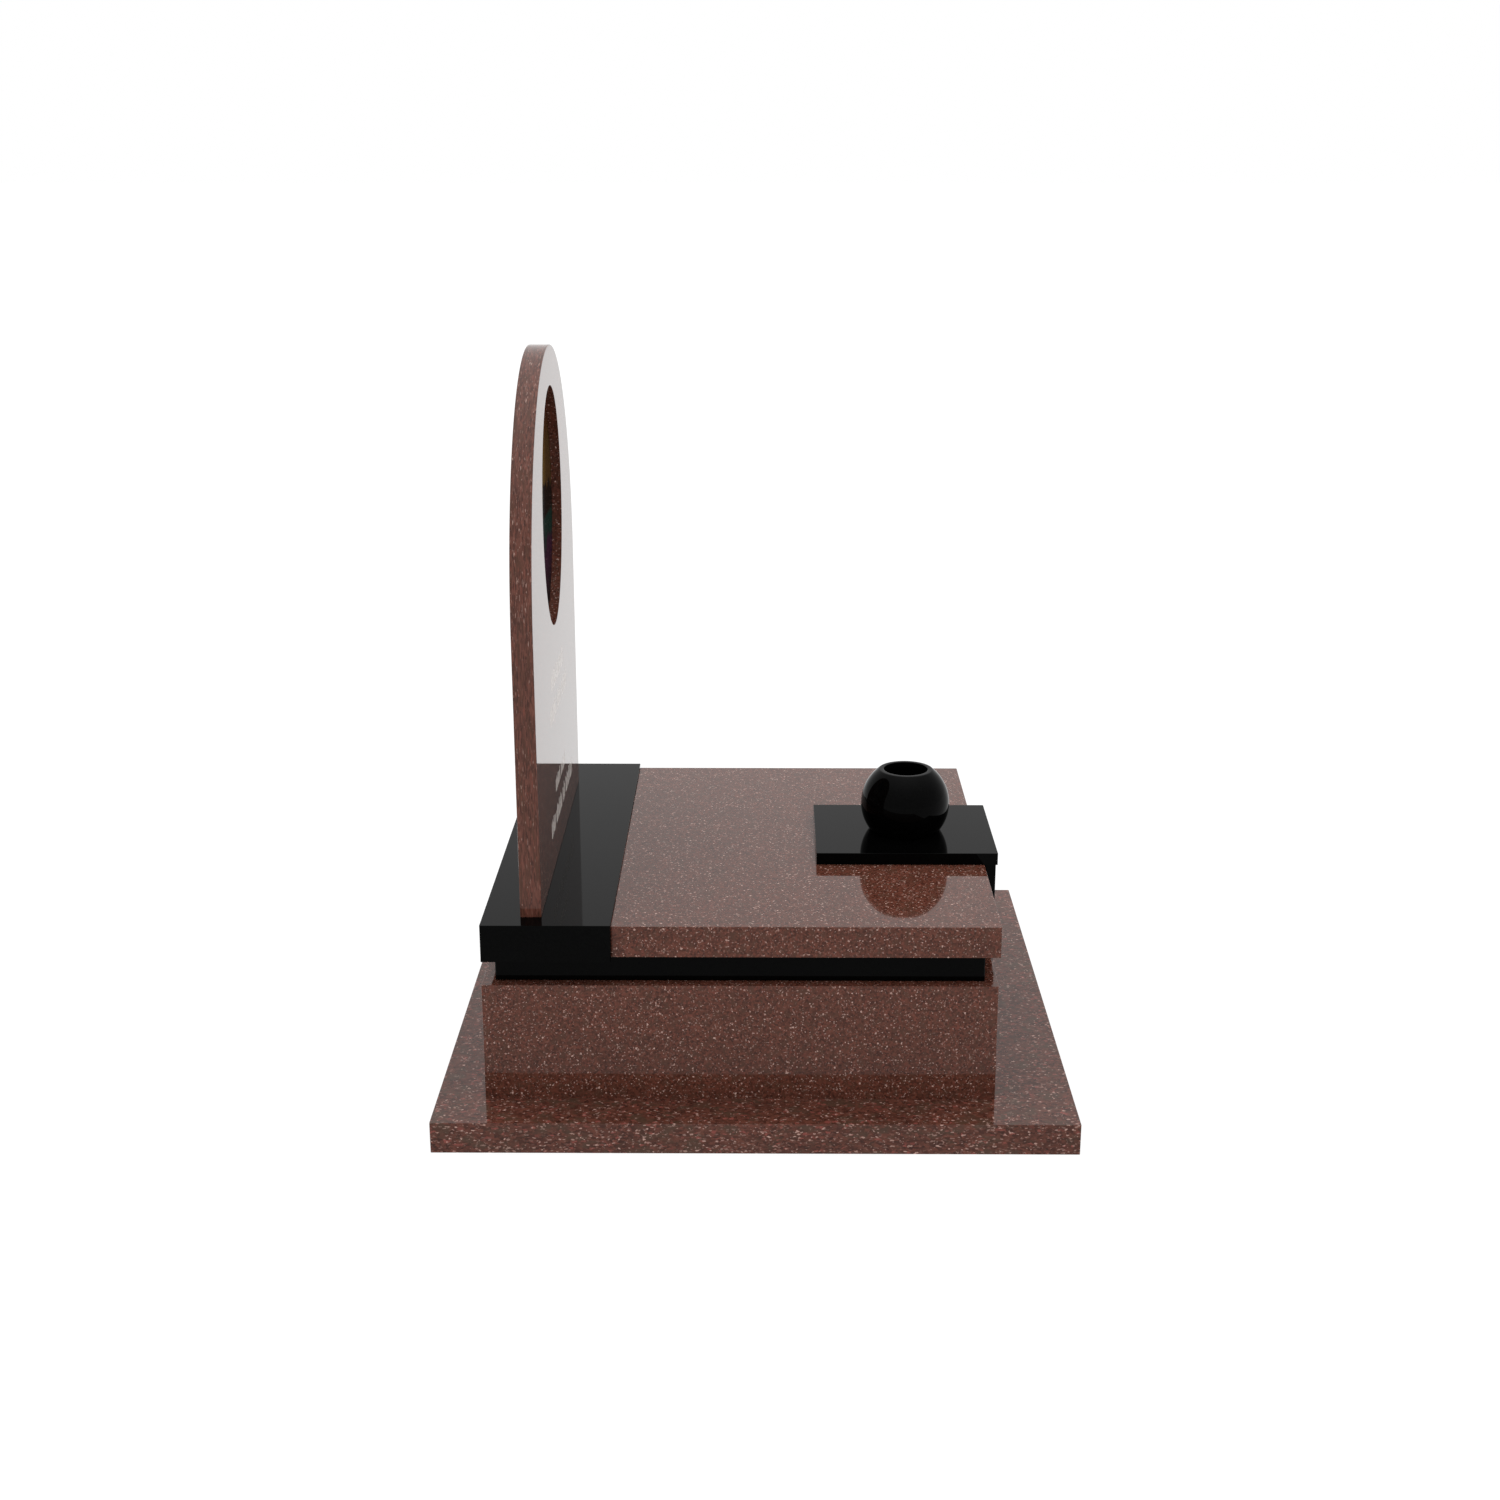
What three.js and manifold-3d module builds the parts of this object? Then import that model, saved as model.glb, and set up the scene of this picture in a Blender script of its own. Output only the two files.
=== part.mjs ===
// Urn headstone: a stepped granite monument for a cremation plot.
// Millimetres, +Z up, front towards -Y, origin at the middle of the base slab's underside.

import * as THREE from "three";
import { RoundedBoxGeometry } from "three/addons/geometries/RoundedBoxGeometry.js";
import { mergeVertices } from "three/addons/utils/BufferGeometryUtils.js";
import Module from "manifold-3d";

const wasm = await Module();
wasm.setup();

// Driving dimensions
const BASE_SIDE = 1000;
const BASE_THICK = 50;
const CHAMBER_SIDE = 800;
const CHAMBER_SETBACK = 24;
const CHAMBER_SHIFT = -14;
const KERB_HEIGHT = 192;
const KERB_WALL = 60;
const COURSE_INSET = 20;
const COURSE_HEIGHT = 48;
const COVER_DEPTH = 600;
const COVER_WIDTH = 800;
const COVER_THICK = 50;
const COVER_NOSE = 2;
const PLINTH_DEPTH = 200;
const PLINTH_WIDTH = 820;
const PLINTH_THICK = 60;
const PLINTH_SINK = 5;
const STONE_WIDTH = 678;
const STONE_HEIGHT = 834;
const STONE_THICK = 33;
const STONE_ARCH_RISE = 400;
const STONE_STEP = 108;
const STONE_SHIFT = -35;
const OVAL_WIDTH = 302;
const OVAL_HEIGHT = 387;
const OVAL_CENTRE_UP = 577;
const OVAL_DEPTH = 16;
const PLAQUE_THICK = 4;
const PLAQUE_CLEARANCE = 0.5;
const PLATE_DEPTH = 300;
const PLATE_WIDTH = 250;
const PLATE_THICK = 20;
const PLATE_OVERHANG = 22;
const UPRIGHT_WIDTH = 200;
const UPRIGHT_THICK = 20;
const BALL_RADIUS = 75;
const BALL_SEAT = 47;
const BALL_MOUTH_UP = 60;
const BALL_WALL = 12;
const BALL_RIM = 8;
const BALL_FORWARD = 3;
const ARRIS = 1.5;
const MERGE_WITHIN = 0.0001;

// Inscription: rows of V-cut strokes, each row with its height above the stone's foot,
// its stroke height, its sideways shift and the number of strokes in each group.
// Lengths are shares of the row's height, leans are in radians, rates are radians a stroke.
const STROKE_WIDTH = 4;
const STROKE_DEPTH = 1.2;
const STROKE_PITCH = 11;
const STROKE_LENGTH = 0.82;
const STROKE_LENGTH_SWING = 0.14;
const STROKE_LENGTH_RATE = 2.4;
const STROKE_LEAN_SWING = 0.2;
const STROKE_LEAN_RATE = 1.7;
const INSCRIPTION_ROWS = [
  { foot: 290, height: 34, shift: 0, groups: [7, 10] },
  { foot: 240, height: 34, shift: 10, groups: [9, 6, 8] },
  { foot: 114, height: 26, shift: 10, groups: [7, 7] },
  { foot: 60, height: 32, shift: 28, groups: [6, 9, 4, 11] },
];

// Smoothness of the round work
const ARCH_SEGMENTS = 32;
const OVAL_SEGMENTS = 36;
const BALL_SIDES = 48;
const BALL_STEPS = 12;

// Levels and faces that follow from the driving dimensions
const CHAMBER_FRONT = CHAMBER_SETBACK - CHAMBER_SIDE / 2;
const CHAMBER_BACK = CHAMBER_SETBACK + CHAMBER_SIDE / 2;
const COURSE_BOTTOM = BASE_THICK + KERB_HEIGHT;
const COURSE_TOP = COURSE_BOTTOM + COURSE_HEIGHT;
const COVER_TOP = COURSE_TOP + COVER_THICK;
const COVER_FRONT = CHAMBER_FRONT - COVER_NOSE;
const PLINTH_FRONT = COVER_FRONT + COVER_DEPTH;
const PLINTH_BOTTOM = COURSE_TOP - PLINTH_SINK;
const PLINTH_TOP = PLINTH_BOTTOM + PLINTH_THICK;
const PLATE_FRONT = COVER_FRONT - PLATE_OVERHANG;
const PLATE_TOP = COVER_TOP + PLATE_THICK;

// Finishes: each call gives a piece a material of its own.
const finish = (color, roughness, metalness = 0) => () =>
  new THREE.MeshStandardMaterial({ color, roughness, metalness });
const brownGranite = finish(0x5a3229, 0.15);
const blackGranite = finish(0x0b0b0c, 0.06);
const glazedPicture = finish(0x4a3a1e, 0.2);

// The chamber and all that it carries stand a little to one side of the base's middle.
const monument = new THREE.Group();
const chamber = new THREE.Group();
chamber.position.x = CHAMBER_SHIFT;
monument.add(chamber);

function addPiece(parent, name, geometry, material, x, y, z) {
  const piece = new THREE.Mesh(geometry, material);
  piece.name = name;
  piece.position.set(x, y, z);
  parent.add(piece);
  return piece;
}

// A sawn slab with eased arrises, placed by its ranges along X, Y and Z.
function addSlab(name, material, [x0, x1], [y0, y1], [z0, z1], parent = chamber) {
  const geometry = new RoundedBoxGeometry(x1 - x0, y1 - y0, z1 - z0, 1, ARRIS);
  return addPiece(parent, name, geometry, material, (x0 + x1) / 2, (y0 + y1) / 2, (z0 + z1) / 2);
}

// A flat outline given a thickness, with both of its edges eased.
function easedPanel(outline, thickness, curveSegments) {
  return new THREE.ExtrudeGeometry(outline, {
    depth: thickness - 2 * ARRIS,
    curveSegments,
    bevelEnabled: true,
    bevelThickness: ARRIS,
    bevelSize: ARRIS,
    bevelOffset: -ARRIS,
    bevelSegments: 1,
  }).translate(0, 0, ARRIS);
}

// Turns a panel drawn in X and Y so that it stands up, its drawn face towards -Y.
function standUp(geometry) {
  return geometry.rotateX(Math.PI / 2);
}

function solidFrom(geometry) {
  const bare = geometry.clone();
  bare.deleteAttribute("normal");
  bare.deleteAttribute("uv");
  const merged = mergeVertices(bare, MERGE_WITHIN);
  return new wasm.Manifold(
    new wasm.Mesh({
      numProp: 3,
      vertProperties: new Float32Array(merged.attributes.position.array),
      triVerts: new Uint32Array(merged.index.array),
    }),
  );
}

function geometryFrom(solid) {
  const mesh = solid.getMesh();
  const geometry = new THREE.BufferGeometry();
  geometry.setAttribute("position", new THREE.BufferAttribute(mesh.vertProperties, 3));
  geometry.setIndex(new THREE.BufferAttribute(mesh.triVerts, 1));
  geometry.computeVertexNormals();
  return geometry;
}

// Base: one square slab that carries everything.
function buildBase() {
  const half = BASE_SIDE / 2;
  addSlab("base_slab", brownGranite(), [-half, half], [-half, half], [0, BASE_THICK], monument);
}

// Chamber: four kerb slabs set on edge. The side kerbs run through, the others fit between them.
function buildKerbs() {
  const outer = CHAMBER_SIDE / 2;
  const inner = outer - KERB_WALL;
  const run = [CHAMBER_FRONT, CHAMBER_BACK];
  const level = [BASE_THICK, COURSE_BOTTOM];
  addSlab("kerb_left", brownGranite(), [-outer, -inner], run, level);
  addSlab("kerb_right", brownGranite(), [inner, outer], run, level);
  addSlab("kerb_front", brownGranite(), [-inner, inner], [CHAMBER_FRONT, CHAMBER_FRONT + KERB_WALL], level);
  addSlab("kerb_back", brownGranite(), [-inner, inner], [CHAMBER_BACK - KERB_WALL, CHAMBER_BACK], level);
}

// Course: black strips on the kerbs, set in from their outer faces and flush with their inner ones.
// Behind the cover they are lower, so that the thicker plinth sinks a little into them.
function buildCourse() {
  const outer = CHAMBER_SIDE / 2 - COURSE_INSET;
  const inner = CHAMBER_SIDE / 2 - KERB_WALL;
  const strip = outer - inner;
  const front = CHAMBER_FRONT + COURSE_INSET;
  const back = CHAMBER_BACK - COURSE_INSET;
  const profile = new THREE.Shape();
  profile.moveTo(front, COURSE_BOTTOM);
  profile.lineTo(back, COURSE_BOTTOM);
  profile.lineTo(back, PLINTH_BOTTOM);
  profile.lineTo(PLINTH_FRONT, PLINTH_BOTTOM);
  profile.lineTo(PLINTH_FRONT, COURSE_TOP);
  profile.lineTo(front, COURSE_TOP);
  for (const [name, x] of [["course_left", -outer], ["course_right", inner]]) {
    const geometry = easedPanel(profile, strip, 1);
    geometry.rotateZ(Math.PI / 2).rotateY(Math.PI / 2);
    addPiece(chamber, name, geometry, blackGranite(), x, 0, 0);
  }
  const across = [-inner, inner];
  addSlab("course_front", blackGranite(), across, [front, front + strip], [COURSE_BOTTOM, COURSE_TOP]);
  addSlab("course_back", blackGranite(), across, [back - strip, back], [COURSE_BOTTOM, PLINTH_BOTTOM]);
}

// Lid of the chamber: the brown cover slab in front, the black plinth of the headstone behind it.
function buildLid() {
  const cover = COVER_WIDTH / 2;
  const plinth = PLINTH_WIDTH / 2;
  const coverRun = [COVER_FRONT, PLINTH_FRONT];
  const plinthRun = [PLINTH_FRONT, PLINTH_FRONT + PLINTH_DEPTH];
  addSlab("cover_slab", brownGranite(), [-cover, cover], coverRun, [COURSE_TOP, COVER_TOP]);
  addSlab("headstone_plinth", blackGranite(), [-plinth, plinth], plinthRun, [PLINTH_BOTTOM, PLINTH_TOP]);
}

// Straight sides under half an ellipse.
function archOutline() {
  const half = STONE_WIDTH / 2;
  const spring = STONE_HEIGHT - STONE_ARCH_RISE;
  const outline = new THREE.Shape();
  outline.moveTo(-half, 0);
  outline.lineTo(half, 0);
  outline.lineTo(half, spring);
  outline.absellipse(0, spring, half, STONE_ARCH_RISE, 0, Math.PI, false, 0);
  return outline;
}

function ovalOutline(shrink) {
  const outline = new THREE.Shape();
  const halfWidth = OVAL_WIDTH / 2 - shrink;
  const halfHeight = OVAL_HEIGHT / 2 - shrink;
  outline.absellipse(0, OVAL_CENTRE_UP, halfWidth, halfHeight, 0, 2 * Math.PI, false, 0);
  return outline;
}

// One chisel cut: a bar of diamond section, sunk to its widest line in the stone's front face.
function strokeCutter(x, foot, length, lean) {
  const section = new THREE.Shape();
  section.moveTo(-STROKE_WIDTH / 2, 0);
  section.lineTo(0, -STROKE_DEPTH);
  section.lineTo(STROKE_WIDTH / 2, 0);
  section.lineTo(0, STROKE_DEPTH);
  const cutter = new THREE.ExtrudeGeometry(section, { depth: length, bevelEnabled: false });
  return cutter.translate(0, 0, -length / 2).rotateY(lean).translate(x, 0, foot + length / 2);
}

// Rows of strokes in groups, their lengths and leans swinging from one stroke to the next.
function strokeCutters() {
  const cutters = [];
  for (const { foot, height, shift, groups } of INSCRIPTION_ROWS) {
    const places = groups.reduce((sum, count) => sum + count, groups.length - 1);
    let place = 0;
    for (const count of groups) {
      for (let i = 0; i < count; i += 1) {
        const x = shift + (place - (places - 1) / 2) * STROKE_PITCH;
        const share = STROKE_LENGTH + STROKE_LENGTH_SWING * Math.sin(STROKE_LENGTH_RATE * place);
        const lean = STROKE_LEAN_SWING * Math.sin(STROKE_LEAN_RATE * place);
        cutters.push(strokeCutter(x, foot, height * share, lean));
        place += 1;
      }
      place += 1;
    }
  }
  return cutters;
}

// Headstone: an arched slab with an oval recess for a picture and the cut inscription below it.
function buildHeadstone() {
  const stone = new THREE.Group();
  stone.position.set(STONE_SHIFT, PLINTH_FRONT + STONE_STEP, PLINTH_TOP);
  chamber.add(stone);

  const recessDepth = OVAL_DEPTH + PLAQUE_THICK;
  const slab = standUp(easedPanel(archOutline(), STONE_THICK, ARCH_SEGMENTS)).translate(0, STONE_THICK, 0);
  const recess = new THREE.ExtrudeGeometry(ovalOutline(0), {
    depth: 2 * recessDepth,
    curveSegments: OVAL_SEGMENTS,
    bevelEnabled: false,
  });
  let solid = solidFrom(slab).subtract(solidFrom(standUp(recess).translate(0, recessDepth, 0)));
  for (const cutter of strokeCutters()) {
    solid = solid.subtract(solidFrom(cutter));
  }
  addPiece(stone, "headstone", geometryFrom(solid), brownGranite(), 0, 0, 0);

  const plaque = new THREE.ExtrudeGeometry(ovalOutline(PLAQUE_CLEARANCE), {
    depth: PLAQUE_THICK - PLAQUE_CLEARANCE,
    curveSegments: OVAL_SEGMENTS,
    bevelEnabled: false,
  });
  addPiece(stone, "picture_plaque", standUp(plaque), glazedPicture(), 0, recessDepth - PLAQUE_CLEARANCE, 0);
}

// Vase stand: a thin plate on the cover's front edge, held up in front by a slab on edge.
function buildVaseStand() {
  const plate = PLATE_WIDTH / 2;
  const upright = UPRIGHT_WIDTH / 2;
  const plateRun = [PLATE_FRONT, PLATE_FRONT + PLATE_DEPTH];
  const uprightRun = [PLATE_FRONT, PLATE_FRONT + UPRIGHT_THICK];
  addSlab("vase_plate", blackGranite(), [-plate, plate], plateRun, [COVER_TOP, PLATE_TOP]);
  addSlab("vase_upright", blackGranite(), [-upright, upright], uprightRun, [BASE_THICK, COVER_TOP]);
}

// Points along an arc of a circle about the ball's middle, from one height to another.
function arcPoints(radius, fromHeight, toHeight, steps) {
  const start = Math.asin(fromHeight / radius);
  const end = Math.asin(toHeight / radius);
  return Array.from({ length: steps + 1 }, (_, i) => {
    const angle = start + ((end - start) * i) / steps;
    return new THREE.Vector2(radius * Math.cos(angle), radius * Math.sin(angle));
  });
}

// Vase: a hollow ball, cut flat at the foot and at the mouth.
function buildBallVase() {
  const mouthOuter = Math.sqrt(BALL_RADIUS ** 2 - BALL_MOUTH_UP ** 2);
  const mouthInner = mouthOuter - BALL_RIM;
  const innerRadius = BALL_RADIUS - BALL_WALL;
  const innerFloor = BALL_WALL - BALL_SEAT;
  const innerNeck = Math.sqrt(innerRadius ** 2 - mouthInner ** 2);
  const profile = [
    new THREE.Vector2(0, -BALL_SEAT),
    ...arcPoints(BALL_RADIUS, -BALL_SEAT, BALL_MOUTH_UP, BALL_STEPS),
    new THREE.Vector2(mouthInner, BALL_MOUTH_UP),
    ...arcPoints(innerRadius, innerNeck, innerFloor, BALL_STEPS),
    new THREE.Vector2(0, innerFloor),
  ];
  const ball = new THREE.LatheGeometry(profile, BALL_SIDES).rotateX(Math.PI / 2);
  const y = PLATE_FRONT + PLATE_DEPTH / 2 - BALL_FORWARD;
  addPiece(chamber, "ball_vase", ball, blackGranite(), 0, y, PLATE_TOP + BALL_SEAT);
}

buildBase();
buildKerbs();
buildCourse();
buildLid();
buildHeadstone();
buildVaseStand();
buildBallVase();

export default monument;
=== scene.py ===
"""Urn headstone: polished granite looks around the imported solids, in metres, front towards -Y."""
import math

import bpy
import numpy as np
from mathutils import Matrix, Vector


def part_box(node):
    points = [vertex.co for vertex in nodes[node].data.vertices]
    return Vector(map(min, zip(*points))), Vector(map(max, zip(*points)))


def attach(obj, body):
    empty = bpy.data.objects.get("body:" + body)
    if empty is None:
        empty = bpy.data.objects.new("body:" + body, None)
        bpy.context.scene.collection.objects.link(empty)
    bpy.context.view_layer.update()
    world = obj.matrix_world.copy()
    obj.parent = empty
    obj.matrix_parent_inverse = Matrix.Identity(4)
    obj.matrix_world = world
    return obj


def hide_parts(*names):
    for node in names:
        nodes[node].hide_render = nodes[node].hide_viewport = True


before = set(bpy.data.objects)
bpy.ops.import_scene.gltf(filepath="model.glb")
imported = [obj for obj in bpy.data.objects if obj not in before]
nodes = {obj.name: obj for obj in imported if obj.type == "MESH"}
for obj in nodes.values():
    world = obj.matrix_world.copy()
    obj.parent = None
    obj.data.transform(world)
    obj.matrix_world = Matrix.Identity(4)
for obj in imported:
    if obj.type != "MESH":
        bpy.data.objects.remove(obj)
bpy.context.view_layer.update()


# Studio. A pale floor that glows, so that it is as white as the room, and a white room for light that
# is brighter overhead. The camera stands at the monument's left side, above it, with a 50 mm lens.
def add_node(tree, kind, inputs=None, **settings):
    """Puts one node in a tree: settings are its attributes, inputs its sockets' values or links."""
    node = tree.nodes.new(kind)
    for name, value in settings.items():
        setattr(node, name, value)
    for socket, value in (inputs or {}).items():
        if isinstance(value, bpy.types.NodeSocket):
            tree.links.new(value, node.inputs[socket])
        else:
            node.inputs[socket].default_value = value
    return node


def math_node(tree, operation, *parts):
    """One arithmetic step on numbers or sockets, giving its result's socket."""
    return add_node(tree, "ShaderNodeMath", dict(enumerate(parts)), operation=operation).outputs[0]


def new_material(name):
    """An empty node material, with its tree."""
    material = bpy.data.materials.new(name)
    material.use_nodes = True
    material.node_tree.nodes.clear()
    return material, material.node_tree


def end_in_surface(tree, inputs):
    """Ends a material's tree in one Principled surface with the given inputs."""
    surface = add_node(tree, "ShaderNodeBsdfPrincipled", inputs)
    add_node(tree, "ShaderNodeOutputMaterial", {"Surface": surface.outputs[0]})


def new_piece(mesh, *finishes):
    """An object at the origin that shows a mesh, with the mesh's finishes in order."""
    for finish in finishes:
        mesh.materials.append(finish)
    piece = bpy.data.objects.new(mesh.name, mesh)
    scene.collection.objects.link(piece)
    return piece


ROOM_WHITE = (1.0, 1.0, 1.0, 1.0)
OVERHEAD_GAIN = 1.55
OVERHEAD_FOCUS = 4.0
FLOOR_REACH = 40.0
FLOOR_DROP = 0.0003
FLOOR_GLOW = 0.92
FLOOR_PAINT = (0.08, 0.08, 0.08, 1.0)
CAMERA_PLACE = Vector((-3.3785, -0.0119, 1.5437))
CAMERA_DOWN = math.radians(17.24)
CAMERA_TURN = math.radians(0.39)
CAMERA_LENS = 50.0
CAMERA_SENSOR = 36.0


def white_room():
    """Even white light from all round, raised overhead by a power of the height that it comes from."""
    room = bpy.data.worlds.new("white_room")
    room.use_nodes = True
    tree = room.node_tree
    towards = add_node(tree, "ShaderNodeTexCoord").outputs["Generated"]
    upward = add_node(tree, "ShaderNodeSeparateXYZ", {0: towards}).outputs["Z"]
    overhead = math_node(tree, "POWER", math_node(tree, "MAXIMUM", upward, 0.0), OVERHEAD_FOCUS)
    brightness = math_node(tree, "MULTIPLY_ADD", overhead, OVERHEAD_GAIN, 1.0)
    background = tree.nodes["Background"].inputs
    background["Color"].default_value = ROOM_WHITE
    tree.links.new(brightness, background["Strength"])
    return room


def pale_floor():
    """A matt floor paint that glows."""
    material, tree = new_material("pale_floor")
    glow = {"Emission Color": ROOM_WHITE, "Emission Strength": FLOOR_GLOW}
    end_in_surface(tree, {"Base Color": FLOOR_PAINT, "Roughness": 1.0, **glow})
    return material


scene = bpy.context.scene
scene.view_settings.view_transform = "Standard"
scene.world = white_room()

floor_mesh = bpy.data.meshes.new("floor")
floor_corners = np.array([(-1, -1), (1, -1), (1, 1), (-1, 1)], float) * FLOOR_REACH
floor_points = np.column_stack([floor_corners, np.full(4, -FLOOR_DROP)])
floor_mesh.from_pydata(floor_points.tolist(), [], [(0, 1, 2, 3)])
floor = new_piece(floor_mesh, pale_floor())

camera = bpy.data.objects.new("camera", bpy.data.cameras.new("camera"))
camera.data.lens = CAMERA_LENS
camera.data.sensor_width = CAMERA_SENSOR
ahead = math.cos(CAMERA_DOWN)
sight = Vector((ahead * math.cos(CAMERA_TURN), ahead * math.sin(CAMERA_TURN), -math.sin(CAMERA_DOWN)))
camera.location = CAMERA_PLACE
camera.rotation_euler = sight.to_track_quat("-Z", "Y").to_euler()
scene.collection.objects.link(camera)
scene.camera = camera


# Base. A square slab of reddish-brown granite, sawn and polished all over with its arrises eased, which
# lies on the ground and carries the rest. Its grain is a little coarser than the other slabs'.
WHOLE = (0.0, 1.0)
FADE = (1.0, 0.0)


def remap(tree, value, span, result=WHOLE):
    """Takes a value from one span to another in a straight line, held at the ends."""
    names = ("From Min", "From Max", "To Min", "To Max")
    inputs = {"Value": value, **dict(zip(names, (*span, *result)))}
    return add_node(tree, "ShaderNodeMapRange", inputs).outputs["Result"]


MIX_SHARE, MIX_BELOW, MIX_ABOVE, MIX_COLOUR = 0, 6, 7, 2


def blend(tree, share, below, above):
    """Lays one colour over another by a share."""
    inputs = {MIX_SHARE: share, MIX_BELOW: below, MIX_ABOVE: above}
    return add_node(tree, "ShaderNodeMix", inputs, data_type="RGBA").outputs[MIX_COLOUR]


def vector_node(tree, operation, inputs):
    """One step of vector arithmetic, giving its result's socket."""
    return add_node(tree, "ShaderNodeVectorMath", inputs, operation=operation).outputs[0]


def noise(tree, place, scale, detail):
    """Soft noise over a place, as a value and as a colour."""
    inputs = {"Vector": place, "Scale": scale, "Detail": detail}
    return add_node(tree, "ShaderNodeTexNoise", inputs).outputs


def crystals(tree, place, scale):
    """Cells about scattered middles: three random numbers for each cell, and the distance from its middle."""
    cell = add_node(tree, "ShaderNodeTexVoronoi", {"Vector": place, "Scale": scale}).outputs
    first, second, third = add_node(tree, "ShaderNodeSeparateColor", {"Color": cell["Color"]}).outputs
    return first, second, third, cell["Distance"]


RAGGED_SCALE = 420.0
RAGGED_DETAIL = 2.0
RAGGED_PUSH = 0.0045
CRYSTAL_SCALE = 340.0
CRYSTAL_TONES = (0.55, 1.55)
CLOUD_SCALE = 22.0
CLOUD_DETAIL = 3.0
CLOUD_SPAN = (0.3, 0.7)
CLOUD_TONES = (0.9, 1.1)
VEIL_SCALE = 75.0
VEIL_DETAIL = 2.0
VEIL_SPAN = (0.50, 0.66)
VEIL_SHARES = (0.0, 0.8)
EMBER_SPAN = (0.92, 0.99)
EMBER_SHARES = (0.0, 0.6)
FLECK_LAYERS = (
    {"scale": 400.0, "share": 0.8, "reaches": (0.25, 0.55), "shines": (0.05, 1.0)},
    {"scale": 220.0, "share": 0.6, "reaches": (0.18, 0.44), "shines": (0.10, 1.0)},
)
FLECK_CORE = 0.7
GLINT_POWER = 2.5
POLISH = (0.02, 0.06)


def flecks(tree, place, below, fleck, fleck_share, scale, share, reaches, shines):
    """Pale flecks over a colour: some of the crystals, each bright in its core and fading to its reach, few
    of them at full shine."""
    draw, size, glint, distance = crystals(tree, place, scale)
    picked = math_node(tree, "LESS_THAN", draw, math_node(tree, "MULTIPLY", fleck_share, share))
    reach = remap(tree, size, WHOLE, reaches)
    core = math_node(tree, "MULTIPLY", reach, FLECK_CORE)
    inside = remap(tree, distance, (core, reach), FADE)
    shine = remap(tree, math_node(tree, "POWER", glint, GLINT_POWER), WHOLE, shines)
    bright = math_node(tree, "MULTIPLY", inside, shine)
    return blend(tree, math_node(tree, "MULTIPLY", bright, picked), below, fleck)


def granite_grain_group():
    """Speckled stone: small ragged crystals of varying tone, some reddish, with mossy clouds and flecks."""
    group = bpy.data.node_groups.new("granite_grain", "ShaderNodeTree")
    for name, kind, way in (
        ("Vector", "NodeSocketVector", "INPUT"),
        ("Ground", "NodeSocketColor", "INPUT"),
        ("Fleck", "NodeSocketColor", "INPUT"),
        ("Ember", "NodeSocketColor", "INPUT"),
        ("Moss", "NodeSocketColor", "INPUT"),
        ("Fleck Share", "NodeSocketFloat", "INPUT"),
        ("Color", "NodeSocketColor", "OUTPUT"),
        ("Roughness", "NodeSocketFloat", "OUTPUT"),
    ):
        group.interface.new_socket(name, in_out=way, socket_type=kind)
    given = add_node(group, "NodeGroupInput").outputs
    place = given["Vector"]

    ragged = noise(group, place, RAGGED_SCALE, RAGGED_DETAIL)["Color"]
    centred = vector_node(group, "SUBTRACT", {0: ragged, 1: (0.5, 0.5, 0.5)})
    pushed = vector_node(group, "MULTIPLY_ADD", {0: centred, 1: (RAGGED_PUSH,) * 3, 2: place})

    tone, warmth, _, _ = crystals(group, pushed, CRYSTAL_SCALE)
    drift = remap(group, noise(group, place, CLOUD_SCALE, CLOUD_DETAIL)["Fac"], CLOUD_SPAN, CLOUD_TONES)
    strength = math_node(group, "MULTIPLY", remap(group, tone, WHOLE, CRYSTAL_TONES), drift)
    colour = vector_node(group, "SCALE", {0: given["Ground"], "Scale": strength})
    veil = noise(group, place, VEIL_SCALE, VEIL_DETAIL)["Fac"]
    colour = blend(group, remap(group, veil, VEIL_SPAN, VEIL_SHARES), colour, given["Moss"])
    colour = blend(group, remap(group, warmth, EMBER_SPAN, EMBER_SHARES), colour, given["Ember"])
    for layer in FLECK_LAYERS:
        colour = flecks(group, pushed, colour, given["Fleck"], given["Fleck Share"], **layer)

    polish = remap(group, tone, WHOLE, POLISH)
    add_node(group, "NodeGroupOutput", {"Color": colour, "Roughness": polish})
    return group


granite_grain = granite_grain_group()


def granite(name, lay, grain_values, ior):
    """Polished stone: the grain group's colour and roughness under a clear gloss of one refractive index,
    with the grain turned or stretched by the lay."""
    material, tree = new_material(name)
    place = add_node(tree, "ShaderNodeTexCoord").outputs["Object"]
    inputs = {"Vector": lay(tree, place), **grain_values}
    grain = add_node(tree, "ShaderNodeGroup", inputs, node_tree=granite_grain).outputs
    end_in_surface(tree, {"Base Color": grain["Color"], "Roughness": grain["Roughness"], "IOR": ior})
    return material


CREASE = math.radians(28)


def ring_skin(name, rings):
    """A closed skin over rings of points (ring, point, xyz): quads between neighbouring rings, wrapped
    round each ring, and a fan to the middle of the first and of the last ring."""
    count, around = rings.shape[:2]
    here = np.arange(around)
    after = np.roll(here, -1)
    start = np.arange(count - 1)[:, None] * around
    quads = np.stack([start + here, start + after, start + around + after, start + around + here], -1)
    last = (count - 1) * around
    middle = np.full(around, count * around)
    first_fan = np.stack([middle, after, here], -1)
    last_fan = np.stack([middle + 1, last + here, last + after], -1)
    points = np.concatenate([rings.reshape(-1, 3), rings[[0, -1]].mean(1)])
    faces = quads.reshape(-1, 4).tolist() + first_fan.tolist() + last_fan.tolist()
    mesh = bpy.data.meshes.new(name)
    mesh.from_pydata(points.tolist(), [], faces)
    return mesh


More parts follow.
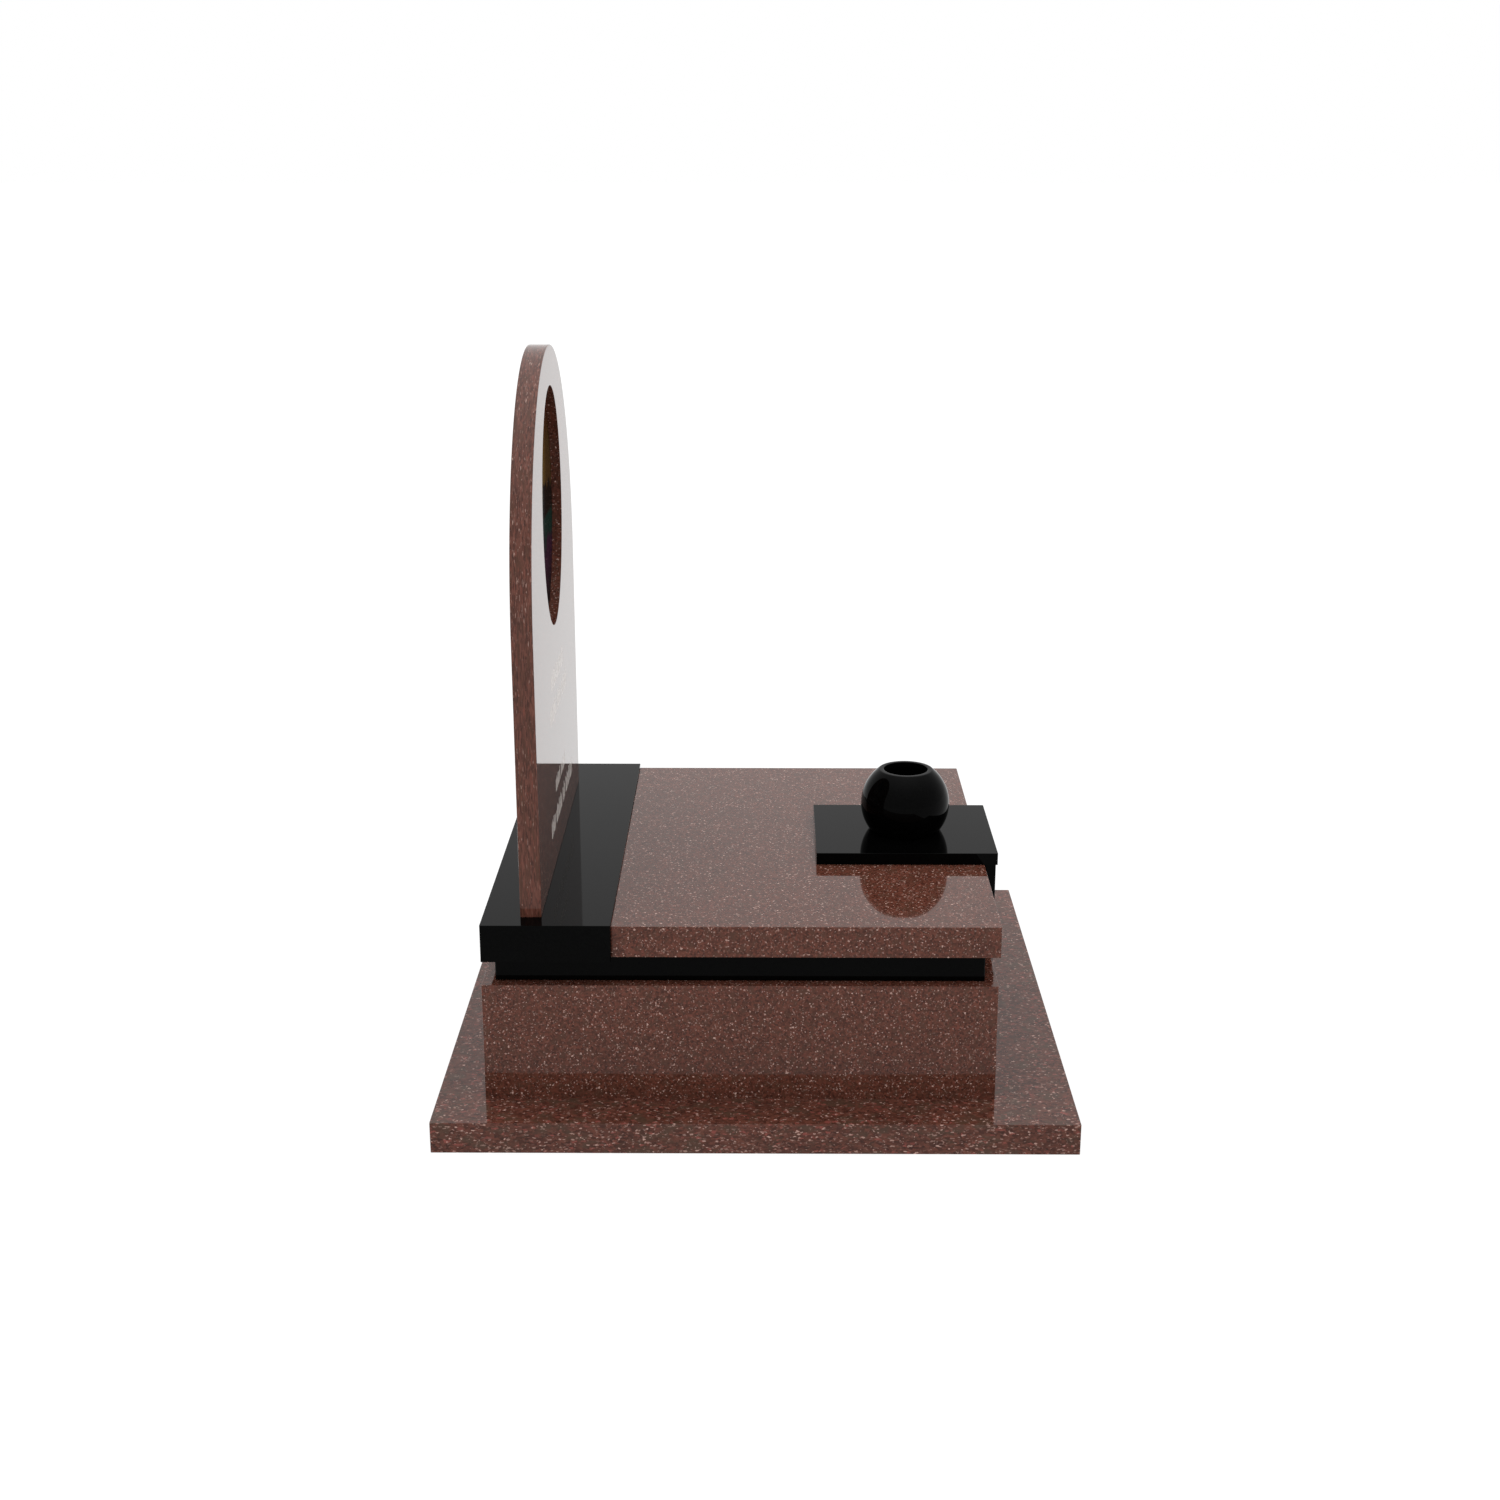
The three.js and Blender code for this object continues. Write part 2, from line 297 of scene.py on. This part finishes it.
def stand_for(node, piece):
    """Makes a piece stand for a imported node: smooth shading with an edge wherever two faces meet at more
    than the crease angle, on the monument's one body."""
    mesh = piece.data
    mesh.polygons.foreach_set("use_smooth", np.ones(len(mesh.polygons), bool))
    mesh.set_sharp_from_angle(angle=CREASE)
    mesh.update()
    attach(piece, "root")
    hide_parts(node)


ARRIS_STEPS = 3
ARRIS_GUARD = 2.0


def arris(radius):
    """(cut back, sunk in) along a quarter circle from one face to the next, with one more line on each
    face close to the edge, which keeps the shading of the faces flat."""
    turn = np.linspace(0, math.pi / 2, ARRIS_STEPS + 1)
    arc = np.column_stack([1 - np.sin(turn), 1 - np.cos(turn)])
    return np.concatenate([[(ARRIS_GUARD, 0.0)], arc, [(0.0, ARRIS_GUARD)]]) * radius


SLAB_ARRIS = 0.0006
SLAB_CORNER = 0.0015
CORNER_STEPS = 4


def slab_line(low, high, inset):
    """Points (x, y) round a slab's plan, moved in by the inset: a quarter circle at each corner, about a
    middle that stands the corner's radius in from both sides."""
    turn = np.linspace(0, math.pi / 2, CORNER_STEPS + 1)
    bearing = turn + np.arange(4)[:, None] * math.pi / 2
    right = np.array([True, False, False, True])[:, None]
    back = np.array([True, True, False, False])[:, None]
    x = np.where(right, high.x - SLAB_CORNER, low.x + SLAB_CORNER)
    y = np.where(back, high.y - SLAB_CORNER, low.y + SLAB_CORNER)
    reach = SLAB_CORNER - inset
    return np.column_stack([(x + reach * np.cos(bearing)).ravel(), (y + reach * np.sin(bearing)).ravel()])


def sawn_slab(node, stone):
    """A slab in the place of a packed one: upright sides from a sharp foot, which beds tight, and a
    quarter round from the sides to the top."""
    low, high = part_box(node)
    foot = (0.0, high.z - low.z)
    rings = []
    for cut, sunk in (foot, *arris(SLAB_ARRIS)[::-1]):
        line = slab_line(low, high, cut)
        rings.append(np.column_stack([line, np.full(len(line), high.z - sunk)]))
    slab = new_piece(ring_skin(node + "_sawn", np.array(rings)), stone)
    stand_for(node, slab)


BASE_STRETCH = (0.68, 0.50, 0.95)
BASE_GRAIN = {
    "Ground": (0.068, 0.0230, 0.0152, 1.0),
    "Fleck": (0.40, 0.252, 0.213, 1.0),
    "Ember": (0.24, 0.062, 0.050, 1.0),
    "Moss": (0.056, 0.031, 0.020, 1.0),
    "Fleck Share": 0.54,
}
BROWN_IOR = 1.27


def drawn_out(tree, place):
    """A coarser grain, drawn out most from front to back."""
    return add_node(tree, "ShaderNodeMapping", {"Vector": place, "Scale": BASE_STRETCH}).outputs[0]


base_granite = granite("base_granite", drawn_out, BASE_GRAIN, BROWN_IOR)
sawn_slab("base_slab", base_granite)


# Kerbs. Four slabs of the same granite stand on edge on the base and wall in the urn chamber. They are
# polished like the base and butted at the corners, with the side kerbs running through.
BROWN_GRAIN = {
    "Ground": (0.074, 0.0243, 0.0156, 1.0),
    "Fleck": (0.47, 0.31, 0.265, 1.0),
    "Ember": (0.15, 0.042, 0.029, 1.0),
    "Moss": (0.066, 0.0275, 0.0175, 1.0),
    "Fleck Share": 0.4,
}


def as_it_lies(tree, place):
    """The grain as it lies in the block, with no stretch."""
    return place


brown_granite = granite("brown_granite", as_it_lies, BROWN_GRAIN, BROWN_IOR)
for kerb in ("kerb_left", "kerb_right", "kerb_front", "kerb_back"):
    sawn_slab(kerb, brown_granite)


# Course. Strips of fine black granite, polished like a mirror, lie on the kerbs, set in from their faces.
# They are lower at the back, where the plinth lies on them.
BLACK_GLEAM = (0.0008, 0.0008, 0.0009, 1.0)
BLACK_GRAIN = {
    "Ground": (0.0007, 0.0007, 0.0007, 1.0),
    "Fleck": (0.0016, 0.0016, 0.0017, 1.0),
    "Ember": BLACK_GLEAM,
    "Moss": BLACK_GLEAM,
    "Fleck Share": 0.1,
}
BLACK_IOR = 1.11

black_granite = granite("black_granite", as_it_lies, BLACK_GRAIN, BLACK_IOR)
for name in ("course_left", "course_right", "course_front", "course_back"):
    strip = nodes[name]
    strip.data.materials.clear()
    strip.data.materials.append(black_granite)


# Lid. The brown cover slab lies on the course in front, and the black plinth that carries the headstone
# lies on it behind. Both overhang it and are bedded in place by their own weight.
sawn_slab("cover_slab", brown_granite)
sawn_slab("headstone_plinth", black_granite)


# Headstone. An arched slab of the brown granite, standing on the plinth, with an oval recess sunk in
# its front for a picture. The inscription is V-cut below it and filled with off-white paint.
stone_low, stone_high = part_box("headstone")
plaque_low, plaque_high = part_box("picture_plaque")
STONE_MIDDLE = (stone_low.x + stone_high.x) / 2
STONE_FOOT = stone_low.z
STONE_HALF = (stone_high.x - stone_low.x) / 2
STONE_RISE = 0.400
STONE_SPRING = stone_high.z - STONE_RISE
STONE_ARRIS = 0.0015
RIM_ARRIS = 0.0005
OVAL_MIDDLE = (plaque_low.z + plaque_high.z) / 2
OVAL_GAP = 0.0005
OVAL_HALF_WIDTH = (plaque_high.x - plaque_low.x) / 2 + OVAL_GAP
OVAL_HALF_HEIGHT = (plaque_high.z - plaque_low.z) / 2 + OVAL_GAP
OVAL_FLOOR = plaque_high.y + OVAL_GAP
FOOT_POINTS = 24
SIDE_POINTS = 16
ARCH_POINTS = 176


def arch_line(inset):
    """Points (x, z) round the arched outline: along the foot, up the right side, over half an ellipse
    from right to left and down the left side, all moved in by the inset."""
    half = STONE_HALF - inset
    foot = STONE_FOOT + inset
    along = np.linspace(-half, half, FOOT_POINTS, endpoint=False)
    up = np.linspace(foot, STONE_SPRING, SIDE_POINTS, endpoint=False)
    turn = np.linspace(0, math.pi, ARCH_POINTS)
    down = np.linspace(STONE_SPRING, foot, SIDE_POINTS + 1)[1:-1]
    x = np.concatenate([along, np.full(SIDE_POINTS, half), half * np.cos(turn), np.full(down.size, -half)])
    arch = STONE_SPRING + (STONE_RISE - inset) * np.sin(turn)
    z = np.concatenate([np.full(FOOT_POINTS, foot), up, arch, down])
    return np.column_stack([x + STONE_MIDDLE, z])


def oval_line(outset):
    """Points (x, z) on the oval, each in the same direction from its middle as the outline's point."""
    line = arch_line(0.0)
    bearing = np.arctan2(line[:, 1] - OVAL_MIDDLE, line[:, 0] - STONE_MIDDLE)
    wide = np.cos(bearing) / (OVAL_HALF_WIDTH + outset)
    tall = np.sin(bearing) / (OVAL_HALF_HEIGHT + outset)
    reach = 1 / np.hypot(wide, tall)
    x = STONE_MIDDLE + reach * np.cos(bearing)
    z = OVAL_MIDDLE + reach * np.sin(bearing)
    return np.column_stack([x, z])


def at_depth(line, y):
    """A ring of a flat line (x, z) at one depth."""
    return np.column_stack([line[:, 0], np.full(len(line), y), line[:, 1]])


stone_edge = arris(STONE_ARRIS)
back_rings = [at_depth(arch_line(cut), stone_high.y - sunk) for cut, sunk in stone_edge]
front_rings = [at_depth(arch_line(cut), stone_low.y + sunk) for cut, sunk in stone_edge[::-1]]
rim_rings = [at_depth(oval_line(cut), stone_low.y + sunk) for cut, sunk in arris(RIM_ARRIS)]
floor_ring = at_depth(oval_line(0.0), OVAL_FLOOR)
stone_rings = np.array(back_rings + front_rings + rim_rings + [floor_ring])

STROKE_WIDTH = 0.004
STROKE_DEPTH = 0.0012
STROKE_PITCH = 0.011
STROKE_LENGTH = 0.82
STROKE_LENGTH_SWING = 0.14
STROKE_LENGTH_RATE = 2.4
STROKE_LEAN_SWING = 0.2
STROKE_LEAN_RATE = 1.7
INSCRIPTION_ROWS = (
    {"foot": 0.290, "height": 0.034, "shift": 0.000, "groups": (7, 10)},
    {"foot": 0.240, "height": 0.034, "shift": 0.010, "groups": (9, 6, 8)},
    {"foot": 0.114, "height": 0.026, "shift": 0.010, "groups": (7, 7)},
    {"foot": 0.060, "height": 0.032, "shift": 0.028, "groups": (6, 9, 4, 11)},
)


def row_of_strokes(foot, height, shift, groups):
    """Middle (x, z), length and lean of each stroke in a row: places a pitch apart with one left out
    between groups, lengths and leans swinging as sines of the place."""
    places = np.concatenate([np.arange(n) + sum(groups[:k]) + k for k, n in enumerate(groups)])
    span = sum(groups) + len(groups) - 1
    length = height * (STROKE_LENGTH + STROKE_LENGTH_SWING * np.sin(STROKE_LENGTH_RATE * places))
    lean = STROKE_LEAN_SWING * np.sin(STROKE_LEAN_RATE * places)
    x = STONE_MIDDLE + shift + (places - (span - 1) / 2) * STROKE_PITCH
    z = STONE_FOOT + foot + length / 2
    return np.column_stack([x, z, length, lean])


def chisel_bars(strokes):
    """Bars of diamond section, one for each stroke, with their widest line in the stone's front face."""
    section = np.array([(-1, 0), (0, -1), (1, 0), (0, 1)]) * (STROKE_WIDTH / 2, STROKE_DEPTH)
    across = np.tile(section[:, 0], 2)
    depth = np.tile(section[:, 1], 2)
    along = np.repeat([-0.5, 0.5], 4) * strokes[:, 2:3]
    sine = np.sin(strokes[:, 3:4])
    cosine = np.cos(strokes[:, 3:4])
    x = strokes[:, 0:1] + across * cosine + along * sine
    z = strokes[:, 1:2] - across * sine + along * cosine
    points = np.stack([x, np.broadcast_to(stone_low.y + depth, x.shape), z], -1).reshape(-1, 3)
    bar = np.array([(3, 2, 1, 0), (4, 5, 6, 7), (1, 5, 4, 0), (2, 6, 5, 1), (3, 7, 6, 2), (0, 4, 7, 3)])
    faces = (bar + 8 * np.arange(len(strokes))[:, None, None]).reshape(-1, 4)
    mesh = bpy.data.meshes.new("chisel_bars")
    mesh.from_pydata(points.tolist(), [], faces.tolist())
    return mesh


STREAK_FINE = 1.9
STREAK_LONG = 0.26
STREAK_GRAIN = {
    **BROWN_GRAIN,
    "Ground": (0.083, 0.0305, 0.0215, 1.0),
    "Fleck": (0.33, 0.21, 0.175, 1.0),
}
ARCH_RADIUS = (STONE_HALF + STONE_RISE) / 2


def streaked_edge(tree, place):
    """A finer grain, drawn out along the slab's outline: its run is the height below the arch, and above
    that the angle round the arch times the arch's mean radius."""
    x, y, z = add_node(tree, "ShaderNodeSeparateXYZ", {0: place}).outputs
    aside = math_node(tree, "ABSOLUTE", math_node(tree, "SUBTRACT", x, STONE_MIDDLE))
    above = math_node(tree, "SUBTRACT", z, STONE_SPRING)
    over_spring = math_node(tree, "MAXIMUM", above, 0.0)
    under_spring = math_node(tree, "MINIMUM", above, 0.0)
    angle = math_node(tree, "ARCTAN2", over_spring, aside)
    run = math_node(tree, "MULTIPLY_ADD", angle, ARCH_RADIUS, under_spring)
    rise_squared = math_node(tree, "MULTIPLY", over_spring, over_spring)
    outward = math_node(tree, "SQRT", math_node(tree, "MULTIPLY_ADD", aside, aside, rise_squared))
    parts = ((outward, STREAK_FINE), (y, STREAK_FINE), (run, STREAK_LONG))
    drawn = [math_node(tree, "MULTIPLY", part, scale) for part, scale in parts]
    return add_node(tree, "ShaderNodeCombineXYZ", dict(enumerate(drawn))).outputs[0]


PAINT_LIGHT = (0.90, 0.86, 0.82, 1.0)
PAINT_DULL = (0.62, 0.58, 0.54, 1.0)
PAINT_PATCHES = 260.0
PAINT_DETAIL = 3.0
PAINT_SPAN = (0.35, 0.65)
PAINT_ROUGHNESS = 0.45


def inscription_paint():
    """Off-white paint with small duller patches."""
    material, tree = new_material("inscription_paint")
    place = add_node(tree, "ShaderNodeTexCoord").outputs["Object"]
    patch = noise(tree, place, PAINT_PATCHES, PAINT_DETAIL)["Fac"]
    coat = blend(tree, remap(tree, patch, PAINT_SPAN), PAINT_LIGHT, PAINT_DULL)
    end_in_surface(tree, {"Base Color": coat, "Roughness": PAINT_ROUGHNESS})
    return material


EDGE_FINISH = 1
PAINT_FINISH = 2
edge_granite = granite("edge_granite", streaked_edge, STREAK_GRAIN, BROWN_IOR)
stone_finishes = (brown_granite, edge_granite, inscription_paint())
headstone = new_piece(ring_skin("headstone_dressed", stone_rings), *stone_finishes)
strokes = np.concatenate([row_of_strokes(**row) for row in INSCRIPTION_ROWS])
bars = new_piece(chisel_bars(strokes), *stone_finishes)

around = stone_rings.shape[1]
edge_faces = slice(around, around * (len(back_rings) + len(front_rings) - 2))
finish_of_face = np.zeros(len(headstone.data.polygons), np.int32)
finish_of_face[edge_faces] = EDGE_FINISH
headstone.data.polygons.foreach_set("material_index", finish_of_face)
finish_of_bar = np.full(len(bars.data.polygons), PAINT_FINISH, np.int32)
bars.data.polygons.foreach_set("material_index", finish_of_bar)

carve = headstone.modifiers.new("carve", "BOOLEAN")
carve.operation = "DIFFERENCE"
carve.solver = "EXACT"
carve.object = bars
carve.material_mode = "INDEX"
carved = headstone.evaluated_get(bpy.context.evaluated_depsgraph_get())
headstone.data = bpy.data.meshes.new_from_object(carved)
headstone.modifiers.clear()
bpy.data.objects.remove(bars)
stand_for("headstone", headstone)


# Picture. An oval tile of glazed ceramic, bedded in the headstone's recess. The picture fired on it is
# a dusk landscape of plain shapes: a gold glow, dark hills, still water and a purple bank.
TILE_ARRIS = 0.0008
TILE_POINTS = 160


def tile_ring(cut, y):
    """An oval ring of the tile, cut back evenly, at one depth."""
    turn = np.linspace(0, 2 * math.pi, TILE_POINTS, endpoint=False)
    x = STONE_MIDDLE + (OVAL_HALF_WIDTH - OVAL_GAP - cut) * np.cos(turn)
    z = OVAL_MIDDLE + (OVAL_HALF_HEIGHT - OVAL_GAP - cut) * np.sin(turn)
    return at_depth(np.column_stack([x, z]), y)


SKY_TOP = (0.045, 0.012, 0.008, 1.0)
SKY_LOW = (0.040, 0.020, 0.006, 1.0)
SKY_SPAN = (0.45, 0.8)
WISP_SCALE = 3.0
WISP_DETAIL = 4.0
WISP_SWAY = 0.5
GLOW_GOLD = (0.14, 0.08, 0.015, 1.0)
GLOW_SIDE = -0.25
GLOW_HEIGHT = 0.42
GLOW_SPAN = (0.0, 0.75)
HILL_DARK = (0.006, 0.004, 0.003, 1.0)
HILL_SWELL = 0.16
HILL_RATE = 2.2
HILL_START = 0.4
HILL_LEVEL = -0.02
HILL_SPAN = (-0.015, 0.015)
WATER_TEAL = (0.003, 0.016, 0.012, 1.0)
WATER_SPAN = (-0.14, -0.11)
BANK_PURPLE = (0.022, 0.006, 0.016, 1.0)
BANK_SPAN = (-0.38, -0.28)
FOOT_BLACK = (0.004, 0.002, 0.002, 1.0)
FOOT_SPAN = (-0.8, -0.5)
GLAZE_ROUGHNESS = 0.08
GLAZE_IOR = 1.015


def dusk_picture():
    """The picture in the oval's own measure, from -1 to 1 each way: a sky with a round glow, a hill under a
    sine, then water, bank and foot, each laid over what is behind it below its own height."""
    material, tree = new_material("dusk_picture")
    inputs = {
        "Vector": add_node(tree, "ShaderNodeTexCoord").outputs["Object"],
        "Location": (-STONE_MIDDLE / OVAL_HALF_WIDTH, 0.0, -OVAL_MIDDLE / OVAL_HALF_HEIGHT),
        "Scale": (1 / OVAL_HALF_WIDTH, 1.0, 1 / OVAL_HALF_HEIGHT),
    }
    place = add_node(tree, "ShaderNodeMapping", inputs).outputs[0]
    side, _, height = add_node(tree, "ShaderNodeSeparateXYZ", {0: place}).outputs
    wisps = noise(tree, place, WISP_SCALE, WISP_DETAIL)["Fac"]
    ripple = math_node(tree, "MULTIPLY", math_node(tree, "SUBTRACT", wisps, 0.5), WISP_SWAY)
    level = math_node(tree, "ADD", height, ripple)

    colour = blend(tree, remap(tree, level, SKY_SPAN), SKY_LOW, SKY_TOP)
    glow_side = math_node(tree, "POWER", math_node(tree, "SUBTRACT", side, GLOW_SIDE), 2.0)
    glow_up = math_node(tree, "POWER", math_node(tree, "SUBTRACT", level, GLOW_HEIGHT), 2.0)
    glow_far = math_node(tree, "SQRT", math_node(tree, "ADD", glow_side, glow_up))
    colour = blend(tree, remap(tree, glow_far, GLOW_SPAN, FADE), colour, GLOW_GOLD)

    swell = math_node(tree, "SINE", math_node(tree, "MULTIPLY_ADD", side, HILL_RATE, HILL_START))
    rough_level = math_node(tree, "ADD", ripple, HILL_LEVEL)
    hill_top = math_node(tree, "MULTIPLY_ADD", swell, HILL_SWELL, rough_level)
    over_hill = math_node(tree, "SUBTRACT", height, hill_top)
    for reading, span, area in (
        (over_hill, HILL_SPAN, HILL_DARK),
        (height, WATER_SPAN, WATER_TEAL),
        (level, BANK_SPAN, BANK_PURPLE),
        (level, FOOT_SPAN, FOOT_BLACK),
    ):
        colour = blend(tree, remap(tree, reading, span, FADE), colour, area)
    end_in_surface(tree, {"Base Color": colour, "Roughness": GLAZE_ROUGHNESS, "IOR": GLAZE_IOR})
    return material


tile_rings = [tile_ring(0.0, plaque_high.y)]
tile_rings += [tile_ring(cut, plaque_low.y + sunk) for cut, sunk in arris(TILE_ARRIS)[::-1]]
tile = new_piece(ring_skin("picture_tile", np.array(tile_rings)), dusk_picture())
stand_for("picture_plaque", tile)


# Vase stand. A thin plate of the black granite lies on the cover's front edge and stands out past it,
# with a slab on edge under its front that stands on the base.
sawn_slab("vase_upright", black_granite)
sawn_slab("vase_plate", black_granite)


# Vase. A ball turned from the black granite and hollowed, cut flat at the foot to stand on the plate
# and cut flat and open at the mouth. It stands loose, by its own weight.
ball_low, ball_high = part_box("ball_vase")
ball_centre = (ball_low + ball_high) / 2
BALL_RADIUS = (ball_high.x - ball_low.x) / 2
BALL_SEAT = 0.047
BALL_WALL = 0.012
BALL_RIM = 0.008
BALL_ARRIS = 0.0012
BALL_MIDDLE = np.array([ball_centre.x, ball_centre.y, ball_low.z + BALL_SEAT])
BALL_MOUTH = ball_high.z - BALL_MIDDLE[2]
BALL_TURNS = 144
BALL_STEPS = 48
EASE_STEPS = 4


def ball_arc(radius, start, end):
    """(radius, height) along a circle about the ball's middle, from one height to another."""
    turn = np.linspace(math.asin(start / radius), math.asin(end / radius), BALL_STEPS)
    return np.column_stack([radius * np.cos(turn), radius * np.sin(turn)])


def eased(before, corner, after):
    """Rounds a corner of the profile: a parabola from the point before it to the point after it, drawn
    towards the corner."""
    t = np.linspace(0, 1, EASE_STEPS + 1)[:, None]
    return (1 - t) ** 2 * np.array(before) + 2 * t * (1 - t) * np.array(corner) + t**2 * np.array(after)


foot_out = math.sqrt(BALL_RADIUS**2 - BALL_SEAT**2)
mouth_out = math.sqrt(BALL_RADIUS**2 - BALL_MOUTH**2)
mouth_in = mouth_out - BALL_RIM
hollow_radius = BALL_RADIUS - BALL_WALL
hollow_floor = BALL_WALL - BALL_SEAT
hollow_neck = math.sqrt(hollow_radius**2 - mouth_in**2)
outer = ball_arc(BALL_RADIUS, BALL_ARRIS - BALL_SEAT, BALL_MOUTH - BALL_ARRIS)
inner = ball_arc(hollow_radius, hollow_neck, hollow_floor)
foot_turn = eased((foot_out - BALL_ARRIS, -BALL_SEAT), (foot_out, -BALL_SEAT), outer[0])
lip_out = eased(outer[-1], (mouth_out, BALL_MOUTH), (mouth_out - BALL_ARRIS, BALL_MOUTH))
lip_in = eased(
    (mouth_in + BALL_ARRIS, BALL_MOUTH), (mouth_in, BALL_MOUTH), (mouth_in, BALL_MOUTH - BALL_ARRIS)
)
profile = np.concatenate([foot_turn, outer[1:-1], lip_out, lip_in, inner])
spin = np.linspace(0, 2 * math.pi, BALL_TURNS, endpoint=False)
ball_rings = np.stack(
    [
        profile[:, :1] * np.cos(spin),
        profile[:, :1] * np.sin(spin),
        np.broadcast_to(profile[:, 1:], (len(profile), BALL_TURNS)),
    ],
    -1,
)
ball = new_piece(ring_skin("ball_vase_turned", ball_rings + BALL_MIDDLE), black_granite)
stand_for("ball_vase", ball)
